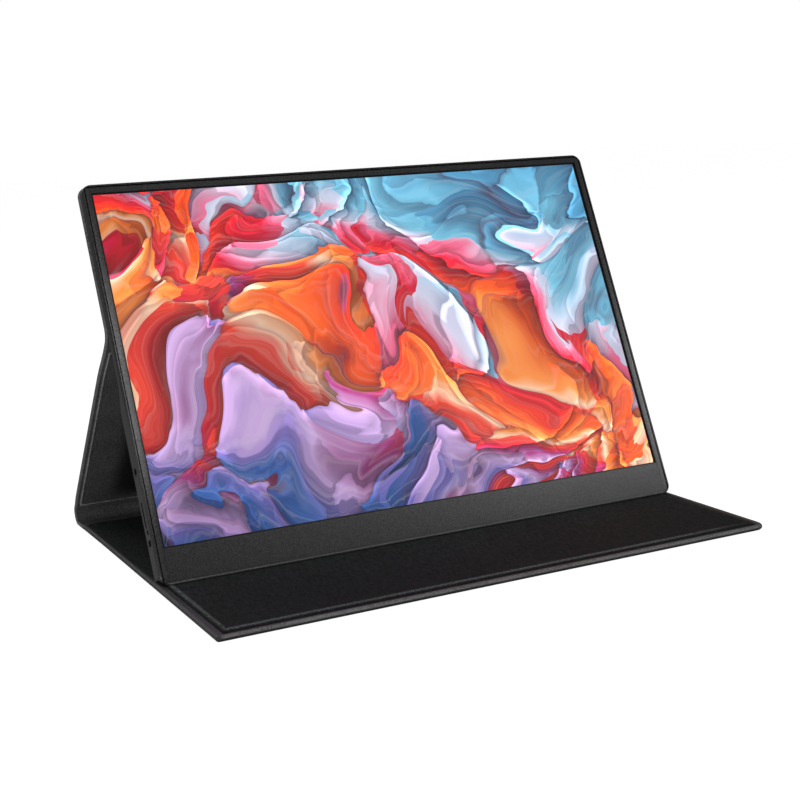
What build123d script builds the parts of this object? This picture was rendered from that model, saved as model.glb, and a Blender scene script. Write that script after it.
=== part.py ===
from build123d import *
import os
from math import sin, cos, tan, radians, degrees, sqrt, pi

os.makedirs("parts", exist_ok=True)

# ---------------------------------------------------------------- driving dimensions, mm and degrees
# Screen and casing. Local axes of the casing: u across (= X), v up the tilted face, w from the front face to the back.
LIT_W, LIT_H = 335.0, 212.0      # lit picture
CHIN, TOP_BEZEL, SIDE_BEZEL = 21.3, 6.1, 5.9
MW = LIT_W / 2 + SIDE_BEZEL      # casing half width, 173.4
MH = LIT_H + CHIN + TOP_BEZEL    # casing height, 239.4
CORNER_R = 6.0
TILT = 24.5                      # lean of the face from the vertical
T_THIN, T_THICK = 5.5, 11.4      # casing thickness at the top, and over the electronics
V_STEP0, V_STEP1 = 103.0, 117.0  # where the back slopes from thick to thin
FOOT_V, FOOT_W = 4.4, 3.6        # ledge under the shell, from FOOT_W back: only the front frame's edge reaches the bottom
WALL = 1.4
FRAME_T = 1.4                    # front frame depth at its rim
RIM, GROOVE = 1.5, 0.7           # rounded rim round the face, and the line inside it
SEAM = 0.25                      # half width and depth of the line where the front frame meets the shell
FACE_T = 0.9                     # frame thickness in front of the panel

# Folio cover: base on the table, leg behind, upper panel on the casing's back
COVER_HW = 174.4                 # half width of every cover panel
BASE_T, PANEL_T = 3.0, 3.0       # base thickness, leg and upper panel thickness
SKIN, RIM_C = 0.7, 2.0           # leather thickness, and turned edge width
LINING = 0.8
A_FRONT = 91.5                   # base front edge to the casing's lower front edge
C_BACK = 158.3                   # casing's lower front edge to the end of the base board
LEG_ANGLE = 41.0                 # leg from the vertical
LEG_LEN = 161.0                  # fold line to the end of the leg board
V_FOLD = 148.8                   # height of the fold line up the casing
W_COVER_IN, W_COVER_OUT = 5.7, 8.6
SPINE_R = 7.0                    # outside radius of the rolled spine
GAP = 0.3                        # clearance between bodies
Z_CASE = BASE_T + GAP + FRAME_T * sin(radians(TILT))   # casing's lower front edge above the table
PANEL_TOP = MH + 1.2

# Side controls and sockets, (v, w) of their centres
PORT_W = 5.95
V_JACK, V_ROCKER, V_LED, V_POWER = 67.0, 41.9, 31.8, 25.5
V_USB1, V_USB2, V_HDMI = 40.0, 56.0, 74.0
R_LEFT, R_RIGHT = 2.0, 8.0       # front corners of the base in plan, tight on the left and round on the right

# ---------------------------------------------------------------- derived points, in (y, z)
t_, p_ = radians(TILT), radians(LEG_ANGLE)
UP, BACK = (sin(t_), cos(t_)), (cos(t_), -sin(t_))
DOWN_LEG, OUT_LEG = (sin(p_), -cos(p_)), (cos(p_), sin(p_))
fold_y = V_FOLD * UP[0] + W_COVER_OUT * BACK[0]
fold_z = Z_CASE + V_FOLD * UP[1] + W_COVER_OUT * BACK[1]
s_tan = (fold_z - SPINE_R * OUT_LEG[1] - SPINE_R) / cos(p_)      # along the leg to the spine's roll
roll_y = fold_y + s_tan * DOWN_LEG[0] - SPINE_R * OUT_LEG[0]     # centre of the roll
Y0 = -(roll_y + SPINE_R - A_FRONT) / 2                           # puts the row origin at the bottom centre of the box
fold_y, roll_y = fold_y + Y0, roll_y + Y0
base_front, base_end = -A_FRONT + Y0, C_BACK + Y0

MON = Plane(origin=(0, Y0, Z_CASE), x_dir=(1, 0, 0), z_dir=(0, -cos(t_), sin(t_)))
LEG = Plane(origin=(0, fold_y, fold_z), x_dir=(1, 0, 0), z_dir=(0, cos(p_), sin(p_)))


def mon(w):
    """Plane parallel to the face, w behind it; sketch axes are u and v."""
    return MON.offset(-w)


def side(u):
    """Plane across the casing at u; sketch axes are v and -w."""
    return Plane(origin=(u, Y0, Z_CASE), x_dir=(0, sin(t_), cos(t_)), z_dir=(1, 0, 0))


def leg(t):
    """Plane parallel to the leg, t inside its outer face; sketch axes are u and the way down the leg."""
    return LEG.offset(-t)


def across(u):
    """Plane across the whole stand at u; sketch axes are y and z."""
    return Plane(origin=(u, 0, 0), x_dir=(0, 1, 0), z_dir=(1, 0, 0))


def put(name, block):
    block.part.label = name
    export_step(block.part, f"parts/{name}.step")


def slab(name, plane, depth, u0, u1, v0, v1):
    """A plain rectangular piece, depth deep behind plane."""
    with BuildPart() as piece:
        with BuildSketch(plane):
            with Locations(((u0 + u1) / 2, (v0 + v1) / 2)):
                Rectangle(u1 - u0, v1 - v0)
        extrude(amount=-depth)
    put(name, piece)
    return piece


# ================================================================ base of the folio, flat on the table
def round_front(sketch, inset):
    """Rounds the two front corners of a base layer that lies inset inside the cover's outline."""
    front = sketch.vertices().group_by(Axis.Y)[0].sort_by(Axis.X)
    fillet(front[0], max(R_LEFT - inset, 0.4))
    fillet(sketch.vertices().group_by(Axis.Y)[0].sort_by(Axis.X)[-1], R_RIGHT - inset)


base_len = C_BACK + A_FRONT
base_mid = (base_front + base_end) / 2
with BuildPart() as base_leather:
    with BuildSketch(Plane.XY) as outline:
        with Locations((0, base_mid)):
            Rectangle(2 * COVER_HW, base_len)
        round_front(outline, 0.0)
    extrude(amount=BASE_T)
    chamfer(base_leather.edges().group_by(Axis.Z)[0].filter_by(lambda e: e.center().Y < base_end - 1), 0.6)
    fillet(base_leather.edges().group_by(Axis.Z)[-1].filter_by(lambda e: e.center().Y < base_end - 1), 1.0)
    with BuildSketch(Plane.XY.offset(SKIN)) as pocket:
        with Locations((0, base_mid + RIM_C / 2)):
            Rectangle(2 * (COVER_HW - RIM_C), base_len - RIM_C)
        round_front(pocket, RIM_C)
    extrude(amount=BASE_T, mode=Mode.SUBTRACT)
put("base_leather", base_leather)

MAGNETS_X = (-140.0, -84.0, -28.0, 28.0, 84.0, 140.0)
with BuildPart() as base_board:
    with BuildSketch(Plane.XY.offset(SKIN)) as outline:
        with Locations((0, (base_front + RIM_C + 0.2 + base_end - 2.0) / 2)):
            Rectangle(2 * (COVER_HW - RIM_C - 0.2), base_end - 2.0 - base_front - RIM_C - 0.2)
        round_front(outline, RIM_C + 0.2)
        with Locations(*[(x, base_front + 10.0) for x in MAGNETS_X]):
            Rectangle(20.4, 6.4, mode=Mode.SUBTRACT)
    extrude(amount=BASE_T - SKIN - LINING)
put("base_board", base_board)

with BuildPart() as base_magnets:
    with BuildSketch(Plane.XY.offset(SKIN + 0.05)):
        with Locations(*[(x, base_front + 10.0) for x in MAGNETS_X]):
            RectangleRounded(20.0, 6.0, 0.8)
    extrude(amount=1.4)
put("base_magnets", base_magnets)

with BuildPart() as base_lining:
    with BuildSketch(Plane.XY.offset(BASE_T - LINING)) as outline:
        with Locations((0, (base_front + RIM_C + 0.2 + base_end) / 2)):
            Rectangle(2 * (COVER_HW - RIM_C - 0.2), base_end - base_front - RIM_C - 0.2)
        round_front(outline, RIM_C + 0.2)
    extrude(amount=LINING)
put("base_lining", base_lining)


# ================================================================ rolled spine between base and leg
def roll_strip(outer, inner):
    """Side outline of a strip of the spine between two depths under its outer face."""
    a0, a1 = -90.0, degrees(p_)
    on_leg = lambda s, d: (fold_y + s * DOWN_LEG[0] - d * OUT_LEG[0], fold_z + s * DOWN_LEG[1] - d * OUT_LEG[1])
    end = LEG_LEN
    l1 = Line((base_end, outer), (roll_y, outer))
    l2 = CenterArc((roll_y, SPINE_R), SPINE_R - outer, a0, a1 - a0)
    l3 = Line(l2 @ 1, on_leg(end, outer))
    l4 = Line(l3 @ 1, on_leg(end, inner))
    l5 = Line(l4 @ 1, on_leg(s_tan, inner))
    l6 = CenterArc((roll_y, SPINE_R), SPINE_R - inner, a1, a0 - a1)
    l7 = Line(l6 @ 1, (base_end, inner))
    l8 = Line(l7 @ 1, l1 @ 0)


with BuildPart() as spine_leather:
    with BuildSketch(across(-COVER_HW)):
        with BuildLine():
            roll_strip(0.0, 1.0)
        make_face()
    extrude(amount=2 * COVER_HW)
put("spine_leather", spine_leather)

with BuildPart() as spine_lining:
    with BuildSketch(across(-COVER_HW + RIM_C)):
        with BuildLine():
            roll_strip(1.0, 1.9)
        make_face()
    extrude(amount=2 * (COVER_HW - RIM_C))
put("spine_lining", spine_lining)

# ================================================================ leg panel
LEG_S0, LEG_S1 = 2.0, LEG_LEN - GAP
with BuildPart() as leg_leather:
    with BuildSketch(leg(0)):
        with Locations((0, (LEG_S0 + LEG_S1) / 2)):
            Rectangle(2 * COVER_HW, LEG_S1 - LEG_S0)
    extrude(amount=-PANEL_T)
    with BuildSketch(leg(SKIN)):
        with Locations((0, (LEG_S0 + LEG_S1) / 2)):
            Rectangle(2 * (COVER_HW - RIM_C), LEG_S1 - LEG_S0)
    extrude(amount=-PANEL_T, mode=Mode.SUBTRACT)
    fillet(leg_leather.edges().filter_by(lambda e: abs(e.center().X) > COVER_HW - 0.01 and e.length > 100), 0.7)
put("leg_leather", leg_leather)
slab("leg_board", leg(SKIN), PANEL_T - SKIN - LINING, -COVER_HW + RIM_C + 0.2, COVER_HW - RIM_C - 0.2, LEG_S0 + 1.0, LEG_S1 - 1.3)
slab("leg_lining", leg(PANEL_T - LINING), LINING, -COVER_HW + RIM_C + 0.2, COVER_HW - RIM_C - 0.2, LEG_S0, LEG_S1)

# ================================================================ upper cover panel, bonded to the casing's back
V_PANEL0 = V_FOLD + 2.0
with BuildPart() as upper_leather:
    with BuildSketch(mon(W_COVER_IN)) as outline:
        with Locations((0, (V_PANEL0 + PANEL_TOP) / 2)):
            Rectangle(2 * COVER_HW, PANEL_TOP - V_PANEL0)
        fillet(outline.vertices().group_by(Axis.Y)[-1], 7.0)
    extrude(amount=-(W_COVER_OUT - W_COVER_IN))
    with BuildSketch(mon(W_COVER_IN)) as pocket:
        with Locations((0, (V_PANEL0 + PANEL_TOP - RIM_C) / 2)):
            Rectangle(2 * (COVER_HW - RIM_C), PANEL_TOP - RIM_C - V_PANEL0)
        fillet(pocket.vertices().group_by(Axis.Y)[-1], 5.0)
    extrude(amount=-(W_COVER_OUT - W_COVER_IN - SKIN), mode=Mode.SUBTRACT)
put("upper_leather", upper_leather)

with BuildPart() as upper_lining:
    with BuildSketch(mon(W_COVER_IN)) as outline:
        with Locations((0, (V_PANEL0 + PANEL_TOP - RIM_C - 0.2) / 2)):
            Rectangle(2 * (COVER_HW - RIM_C - 0.2), PANEL_TOP - RIM_C - 0.2 - V_PANEL0)
        fillet(outline.vertices().group_by(Axis.Y)[-1], 4.8)
    extrude(amount=-0.7)
put("upper_lining", upper_lining)

with BuildPart() as upper_board:
    with BuildSketch(mon(W_COVER_IN + 0.7)) as outline:
        with Locations((0, (V_PANEL0 + 1.0 + PANEL_TOP - RIM_C - 0.2) / 2)):
            Rectangle(2 * (COVER_HW - RIM_C - 0.2), PANEL_TOP - RIM_C - 0.2 - V_PANEL0 - 1.0)
        fillet(outline.vertices().group_by(Axis.Y)[-1], 4.8)
    extrude(amount=-(W_COVER_OUT - SKIN - W_COVER_IN - 0.7))
put("upper_board", upper_board)
slab("adhesive_sheet", mon(T_THIN), W_COVER_IN - T_THIN, -160.0, 160.0, V_PANEL0 + 6.0, MH - 8.0)


# Soft fold between the upper panel and the leg: one strip that carries the outer leather and the lining across the crease
def crease(outer, inner):
    """Side outline of the crease strip between two depths under its outer faces."""
    half = radians(TILT + LEG_ANGLE) / 2
    pan = lambda v, d: (Y0 + v * UP[0] + (W_COVER_OUT - d) * BACK[0], Z_CASE + v * UP[1] + (W_COVER_OUT - d) * BACK[1])
    lg = lambda s, d: (fold_y + s * DOWN_LEG[0] - d * OUT_LEG[0], fold_z + s * DOWN_LEG[1] - d * OUT_LEG[1])
    bis = (-(BACK[0] + OUT_LEG[0]), -(BACK[1] + OUT_LEG[1]))
    n = sqrt(bis[0] ** 2 + bis[1] ** 2)
    mid = lambda d: (fold_y + d / cos(half) * bis[0] / n, fold_z + d / cos(half) * bis[1] / n)
    return [pan(V_PANEL0 - GAP, outer), mid(outer), lg(LEG_S0, outer), lg(LEG_S0, inner), mid(inner), pan(V_PANEL0 - GAP, inner)]


with BuildPart() as crease_leather:
    with BuildSketch(across(-COVER_HW)):
        with BuildLine():
            Polyline(*crease(0.0, 1.0), close=True)
        make_face()
    extrude(amount=2 * COVER_HW)
put("crease_leather", crease_leather)

with BuildPart() as crease_lining:
    with BuildSketch(across(-COVER_HW + RIM_C)):
        with BuildLine():
            Polyline(*crease(1.0, 1.8), close=True)
        make_face()
    extrude(amount=2 * (COVER_HW - RIM_C))
put("crease_lining", crease_lining)

# ================================================================ casing: rear shell
with BuildPart() as shell_cavity:
    with BuildSketch(side(-MW + WALL)):
        with BuildLine():
            Polyline((WALL + 0.2, -FRAME_T + 0.5), (WALL + 0.2, -1.26), (FOOT_V + WALL, -2.9), (FOOT_V + WALL, -(T_THICK - 1.2)), (V_STEP0 - 0.7, -(T_THICK - 1.2)),
                     (V_STEP1 - 0.7, -(T_THIN - 1.2)), (MH - WALL, -(T_THIN - 1.2)), (MH - WALL, -FRAME_T + 0.5), close=True)
        make_face()
    extrude(amount=2 * (MW - WALL))
    with BuildSketch(mon(0)):
        with Locations((0, (MH + 0.2) / 2)):
            RectangleRounded(2 * (MW - WALL), MH - 2 * WALL - 0.2, CORNER_R - WALL)
    extrude(amount=-20, mode=Mode.INTERSECT)

def on_back_outline(e):
    """True for an edge of the shell's outer wall where it meets the back, leaving out the seams that run front to back."""
    q = MON.to_local_coords(e)
    a, b, c = q @ 0, q @ 1, q.center()
    outer = abs(c.X) > MW - CORNER_R + 0.01 or c.Y > MH - 0.01 or c.Y < 0.01
    return c.Z < -FRAME_T - 0.2 and outer and abs(a.X - b.X) + abs(a.Y - b.Y) > 0.05


with BuildPart() as rear_shell:
    with BuildSketch(side(-MW)) as profile:
        with BuildLine():
            Polyline((0, -FRAME_T), (0, -T_THICK), (V_STEP0, -T_THICK), (V_STEP1, -T_THIN), (MH, -T_THIN), (MH, -FRAME_T), close=True)
        make_face()
        fillet(profile.vertices().filter_by(lambda q: q.Y < -3.0 and 50.0 < q.X < 200.0), 2.0)
    extrude(amount=2 * MW)
    with BuildSketch(mon(0)):
        with Locations((0, MH / 2)):
            RectangleRounded(2 * MW, MH, CORNER_R)
    extrude(amount=-20, mode=Mode.INTERSECT)
    chamfer(rear_shell.edges().filter_by(on_back_outline), 0.5)
    with BuildSketch(side(-MW - 1)):
        with BuildLine():
            Polyline((-2, -FRAME_T - 0.15), (0.12, -FRAME_T - 0.15), (FOOT_V, -FOOT_W), (FOOT_V, -T_THICK + 0.5), (FOOT_V + 0.5, -T_THICK),
                     (FOOT_V + 0.5, -T_THICK - 2), (-2, -T_THICK - 2), close=True)
        make_face()
    extrude(amount=2 * MW + 2, mode=Mode.SUBTRACT)
    # half of the line where the front frame meets the shell
    with BuildSketch(mon(FRAME_T)):
        with Locations((0, MH / 2)):
            Rectangle(2 * MW + 2, MH + 2)
            RectangleRounded(2 * (MW - SEAM), MH - 2 * SEAM, CORNER_R - SEAM, mode=Mode.SUBTRACT)
    extrude(amount=-SEAM, mode=Mode.SUBTRACT)
    add(shell_cavity.part, mode=Mode.SUBTRACT)
    # left wall: jack, rocker slot, indicator, power key
    with BuildSketch(side(-MW - 0.5)):
        with Locations((V_JACK, -PORT_W)):
            Circle(2.55)
        with Locations((V_ROCKER, -6.5)):
            RectangleRounded(15.6, 2.7, 1.3)
        with Locations((V_LED, -5.6)):
            Circle(0.85)
        with Locations((V_POWER, -5.8)):
            RectangleRounded(3.5, 5.5, 0.6)
    extrude(amount=3.0, mode=Mode.SUBTRACT)
    with BuildSketch(side(-MW)):
        with Locations((V_LED, -5.6)):
            Circle(1.35)
    extrude(amount=0.35, mode=Mode.SUBTRACT)
    # right wall: two reversible sockets and one video socket
    with BuildSketch(side(MW + 0.5)):
        with Locations((V_USB1, -PORT_W), (V_USB2, -PORT_W)):
            RectangleRounded(9.8, 4.2, 2.05)
        with Locations((V_HDMI, -PORT_W)):
            RectangleRounded(12.0, 4.2, 0.4)
    extrude(amount=-3.0, mode=Mode.SUBTRACT)
    # speaker slots and screw holes through the back
    with BuildSketch(mon(T_THICK - 2.0)):
        with Locations((-126.0, 21.0), (126.0, 21.0)):
            with GridLocations(4.0, 0, 9, 1):
                SlotOverall(12.0, 1.4, rotation=90)
        with Locations((-160.0, 92.0), (-55.0, 92.0), (55.0, 92.0), (160.0, 92.0), (-160.0, 14.5), (-55.0, 14.5), (55.0, 14.5), (160.0, 14.5)):
            Circle(1.3)
    extrude(amount=-4.0, mode=Mode.SUBTRACT)
put("rear_shell", rear_shell)

# ================================================================ casing: front frame
with BuildPart() as front_frame:
    with BuildSketch(mon(0)) as outline:
        with Locations((0, MH / 2)):
            RectangleRounded(2 * MW, MH, CORNER_R)
    extrude(amount=-FRAME_T)
    fillet(front_frame.faces().sort_by(Axis((0, 0, 0), (0, -cos(t_), sin(t_))))[-1].edges(), 1.1)
    # line inside the rim
    with BuildSketch(mon(0)):
        with Locations((0, MH / 2)):
            RectangleRounded(2 * (MW - RIM), MH - 2 * RIM, CORNER_R - RIM)
            RectangleRounded(2 * (MW - RIM - GROOVE), MH - 2 * (RIM + GROOVE), CORNER_R - RIM - GROOVE, mode=Mode.SUBTRACT)
    extrude(amount=-0.5, mode=Mode.SUBTRACT)
    # the other half of the line round the side
    with BuildSketch(mon(FRAME_T - SEAM)):
        with Locations((0, MH / 2)):
            Rectangle(2 * MW + 2, MH + 2)
            RectangleRounded(2 * (MW - SEAM), MH - 2 * SEAM, CORNER_R - SEAM, mode=Mode.SUBTRACT)
    extrude(amount=-SEAM - 0.5, mode=Mode.SUBTRACT)
    # face inside the line sits a little lower than the rim
    with BuildSketch(mon(0)):
        with Locations((0, MH / 2)):
            RectangleRounded(2 * (MW - RIM - GROOVE), MH - 2 * (RIM + GROOVE), CORNER_R - RIM - GROOVE)
    extrude(amount=-0.12, mode=Mode.SUBTRACT)
    # recess behind for the panel, its films and its tray
    with BuildSketch(mon(FACE_T)):
        with Locations((0, 16.6 + (MH - 2.2 - 16.6) / 2)):
            Rectangle(2 * 171.4, MH - 2.2 - 16.6)
    extrude(amount=-FRAME_T, mode=Mode.SUBTRACT)
    # picture opening
    with BuildSketch(mon(0)):
        with Locations((0, CHIN + LIT_H / 2)):
            Rectangle(LIT_W, LIT_H)
    extrude(amount=-FRAME_T, mode=Mode.SUBTRACT)
    # sprung tabs that hold the frame in the shell
    with BuildSketch(mon(FRAME_T)):
        with Locations(*[(u, 6.6) for u in (-150, -90, -30, 30, 90, 150)]):
            Rectangle(12.0, 1.0)
    extrude(amount=-1.4)
put("front_frame", front_frame)

# ================================================================ display stack
GLASS_W0, GLASS_T = FACE_T, 1.2
slab("lcd_panel", mon(GLASS_W0), GLASS_T, -170.6, 170.6, 17.4, MH - 3.0)
W_FILM = GLASS_W0 + GLASS_T
slab("optical_films", mon(W_FILM), 0.4, -169.6, 169.6, 19.4, MH - 4.4)
slab("light_guide", mon(W_FILM + 0.4), 0.6, -169.6, 169.6, 19.4, MH - 4.4)
slab("led_bar", mon(W_FILM + 0.1), 0.8, -165.0, 165.0, 18.1, 19.2)
with BuildPart() as panel_tray:
    with BuildSketch(mon(W_FILM)):
        with Locations((0, (17.4 + MH - 3.0) / 2)):
            Rectangle(2 * 170.6, MH - 3.0 - 17.4)
    extrude(amount=-1.4)
    with BuildSketch(mon(W_FILM)):
        with Locations((0, (18.0 + MH - 3.8) / 2)):
            Rectangle(2 * 170.0, MH - 3.8 - 18.0)
    extrude(amount=-1.0, mode=Mode.SUBTRACT)
put("panel_tray", panel_tray)
W_TRAY = W_FILM + 1.4
slab("driver_board", mon(2.4), 0.8, -118.0, 118.0, 7.5, 16.2)
with BuildPart() as driver_flexes:
    with BuildSketch(mon(2.0)):
        with Locations(*[(u, 14.7) for u in (-96, -48, 0, 48, 96)]):
            Rectangle(26.0, 5.0)
    extrude(amount=-0.35)
put("driver_flexes", driver_flexes)

# ================================================================ electronics behind the panel
with BuildPart() as main_board:
    with BuildSketch(mon(8.2)):
        with Locations((114.0, 59.0)):
            Rectangle(114.0, 54.0)
        with Locations((62.0, 80.0), (62.0, 38.0), (150.0, 84.0), (110.0, 36.0)):
            Circle(1.3, mode=Mode.SUBTRACT)
    extrude(amount=-1.0)
put("main_board", main_board)
with BuildPart() as board_screws:
    with BuildSketch(mon(7.4)):
        with Locations((62.0, 80.0), (62.0, 38.0), (150.0, 84.0), (110.0, 36.0)):
            Circle(2.0)
    extrude(amount=-0.8)
    with BuildSketch(mon(8.2)):
        with Locations((62.0, 80.0), (62.0, 38.0), (150.0, 84.0), (110.0, 36.0)):
            Circle(1.1)
    extrude(amount=-1.95)
put("board_screws", board_screws)
with BuildPart() as board_parts:
    with BuildSketch(mon(8.2)):
        with Locations((92.0, 60.0)):
            Rectangle(14.0, 14.0)
        with Locations((120.0, 70.0), (130.0, 50.0)):
            RectangleRounded(7.0, 7.0, 1.0)
        with Locations((74.0, 48.0), (74.0, 70.0)):
            Rectangle(9.0, 5.0)
        with Locations((140.0, 64.0), (140.0, 74.0)):
            Circle(2.4)
    extrude(amount=1.6)
put("board_parts", board_parts)
slab("heat_spreader", mon(4.6), 1.9, 80.0, 104.0, 48.0, 72.0)
slab("link_cable", mon(3.6), 0.3, -145.0, 60.0, 50.0, 62.0)
slab("key_board", mon(8.2), 1.0, -170.4, -150.0, 20.5, 76.0)


def speaker(name, u):
    with BuildPart() as box:
        with BuildSketch(mon(4.2)):
            with Locations((u, 21.0)):
                RectangleRounded(42.0, 17.0, 2.0)
        extrude(amount=-5.0)
        with BuildSketch(mon(9.2)):
            with Locations((u, 21.0)):
                SlotOverall(34.0, 12.0)
        extrude(amount=1.2, mode=Mode.SUBTRACT)
    put(name, box)


speaker("speaker_left", -126.0)
speaker("speaker_right", 126.0)
with BuildPart() as speaker_cones:
    with BuildSketch(mon(8.9)):
        with Locations((-126.0, 21.0), (126.0, 21.0)):
            SlotOverall(33.4, 11.4)
    extrude(amount=0.6)
    with BuildSketch(mon(9.2)):
        with Locations((-126.0, 21.0), (126.0, 21.0)):
            SlotOverall(20.0, 6.0)
    extrude(amount=0.4)
put("speaker_cones", speaker_cones)

with BuildPart() as shell_screws:
    with BuildSketch(mon(T_THICK - 0.5)):
        with Locations((-160.0, 92.0), (-55.0, 92.0), (55.0, 92.0), (160.0, 92.0), (-160.0, 14.5), (-55.0, 14.5), (55.0, 14.5), (160.0, 14.5)):
            Circle(1.2)
    extrude(amount=4.2)
put("shell_screws", shell_screws)

# ================================================================ sockets
with BuildPart() as headphone_jack:
    with BuildSketch(side(-MW + WALL + 0.1)):
        with Locations((V_JACK, -PORT_W)):
            Rectangle(6.4, 4.4)
    extrude(amount=12.0)
    with BuildSketch(side(-MW + 0.2)):
        with Locations((V_JACK, -PORT_W)):
            Circle(2.45)
    extrude(amount=WALL + 0.4)
    with BuildSketch(side(-MW + 0.2)):
        with Locations((V_JACK, -PORT_W)):
            Circle(1.8)
    extrude(amount=13.0, mode=Mode.SUBTRACT)
put("headphone_jack", headphone_jack)

with BuildPart() as usb_sockets:
    with BuildSketch(side(MW - 0.3)):
        with Locations((V_USB1, -PORT_W), (V_USB2, -PORT_W)):
            RectangleRounded(9.4, 3.7, 1.8)
    extrude(amount=-8.0)
    with BuildSketch(side(MW - 0.3)):
        with Locations((V_USB1, -PORT_W), (V_USB2, -PORT_W)):
            RectangleRounded(8.6, 2.9, 1.4)
    extrude(amount=-7.0, mode=Mode.SUBTRACT)
    with BuildSketch(side(MW - 1.2)):
        with Locations((V_USB1, -PORT_W), (V_USB2, -PORT_W)):
            Rectangle(6.7, 0.7)
    extrude(amount=-7.0)
put("usb_sockets", usb_sockets)

with BuildPart() as video_socket:
    with BuildSketch(side(MW - 0.3)):
        with Locations((V_HDMI, -PORT_W)):
            Rectangle(11.6, 3.8)
    extrude(amount=-8.0)
    with BuildSketch(side(MW - 0.3)):
        with Locations((V_HDMI, -PORT_W)):
            with BuildLine():
                Polyline((-5.3, -1.4), (-4.2, 1.4), (4.2, 1.4), (5.3, -1.4), close=True)
            make_face()
    extrude(amount=-7.0, mode=Mode.SUBTRACT)
    with BuildSketch(side(MW - 1.5)):
        with Locations((V_HDMI, -PORT_W + 0.1)):
            Rectangle(8.0, 0.6)
    extrude(amount=-6.5)
put("video_socket", video_socket)

# ================================================================ side controls
ROCKER_U = -MW + 3.0                    # depth of the rocker's pin
with BuildPart() as rocker_key:
    with BuildSketch(side(-MW + 0.35)):
        with Locations((V_ROCKER, -6.5)):
            RectangleRounded(14.7, 1.9, 0.9)
    extrude(amount=2.0)
    with BuildSketch(side(-MW + 2.0)):
        with Locations((V_ROCKER, -6.5)):
            Rectangle(4.0, 1.9)
    extrude(amount=2.0)
    with BuildSketch(mon(4.5)):
        with Locations((ROCKER_U, V_ROCKER)):
            Circle(0.55)
    extrude(amount=-4.0, mode=Mode.SUBTRACT)
put("rocker_key", rocker_key)

with BuildPart() as rocker_pin:
    with BuildSketch(mon(4.7)):
        with Locations((ROCKER_U, V_ROCKER)):
            Circle(0.5)
    extrude(amount=-3.5)
put("rocker_pin", rocker_pin)

with BuildPart() as power_key:
    with BuildSketch(side(-MW + 0.5)):
        with Locations((V_POWER, -5.8)):
            RectangleRounded(2.8, 4.8, 0.4)
    extrude(amount=1.7)
    with BuildSketch(side(-MW + 2.0)):
        with Locations((V_POWER, -6.0)):
            Circle(0.8)
    extrude(amount=1.1)
put("power_key", power_key)

with BuildPart() as key_switches:
    with BuildSketch(side(-MW + 3.6)):
        with Locations((V_POWER, -5.8)):
            Rectangle(3.4, 4.4)
        with Locations((V_ROCKER - 5.6, -5.9), (V_ROCKER + 5.6, -5.9)):
            Rectangle(3.4, 4.4)
    extrude(amount=2.4)
put("key_switches", key_switches)

with BuildPart() as indicator:
    with BuildSketch(side(-MW + 0.6)):
        with Locations((V_LED, -5.6)):
            Circle(0.75)
    extrude(amount=5.0)
put("indicator", indicator)

print("Y0", round(Y0, 4), "fold", round(fold_y, 4), round(fold_z, 4), "roll centre", round(roll_y, 4), "s_tan", round(s_tan, 3))
# hinge axes, in (y, z)
half = radians(TILT + LEG_ANGLE) / 2
bis = (-(BACK[0] + OUT_LEG[0]), -(BACK[1] + OUT_LEG[1]))
n_b = sqrt(bis[0] ** 2 + bis[1] ** 2)
fold_axis = (fold_y + PANEL_T / 2 / cos(half) * bis[0] / n_b, fold_z + PANEL_T / 2 / cos(half) * bis[1] / n_b)
LEG_LAID = 7.5                    # the leg's slope when the stand is laid open
leg_end = (fold_y + LEG_LEN * DOWN_LEG[0] - 1.5 * OUT_LEG[0], fold_z + LEG_LEN * DOWN_LEG[1] - 1.5 * OUT_LEG[1])
strip = (roll_y - base_end) + (SPINE_R - 1.5) * radians(90 + LEG_ANGLE) + (s_tan - LEG_LEN)
laid_end = (base_end + strip * cos(radians(LEG_LAID / 2)), BASE_T / 2 + strip * sin(radians(LEG_LAID / 2)))
turn = 90 + LEG_ANGLE - LEG_LAID
d = (laid_end[0] - leg_end[0], laid_end[1] - leg_end[1])
dl = sqrt(d[0] ** 2 + d[1] ** 2)
h = dl / 2 / tan(radians(turn / 2))
spine_axis = ((leg_end[0] + laid_end[0]) / 2 + h * d[1] / dl, (leg_end[1] + laid_end[1]) / 2 - h * d[0] / dl)
print("fold axis", [round(x, 4) for x in fold_axis], "spine axis", [round(x, 4) for x in spine_axis], "turn", turn, "strip", round(strip, 2))
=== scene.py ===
import math
import bpy
import numpy as np
from mathutils import Matrix, Vector


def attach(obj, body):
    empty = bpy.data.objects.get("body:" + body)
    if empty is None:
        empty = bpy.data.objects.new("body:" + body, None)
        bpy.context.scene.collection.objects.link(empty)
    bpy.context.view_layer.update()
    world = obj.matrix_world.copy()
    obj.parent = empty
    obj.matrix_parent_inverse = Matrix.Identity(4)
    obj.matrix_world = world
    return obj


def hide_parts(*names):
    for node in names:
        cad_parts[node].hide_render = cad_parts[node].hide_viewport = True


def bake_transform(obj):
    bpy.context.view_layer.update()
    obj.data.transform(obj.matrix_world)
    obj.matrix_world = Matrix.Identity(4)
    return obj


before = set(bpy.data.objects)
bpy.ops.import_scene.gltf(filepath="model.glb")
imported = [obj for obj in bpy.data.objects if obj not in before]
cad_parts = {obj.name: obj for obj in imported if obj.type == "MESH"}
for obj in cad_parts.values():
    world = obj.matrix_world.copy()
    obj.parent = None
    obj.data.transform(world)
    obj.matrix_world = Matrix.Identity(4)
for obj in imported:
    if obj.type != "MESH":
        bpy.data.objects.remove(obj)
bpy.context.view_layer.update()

MM = 0.001

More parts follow.
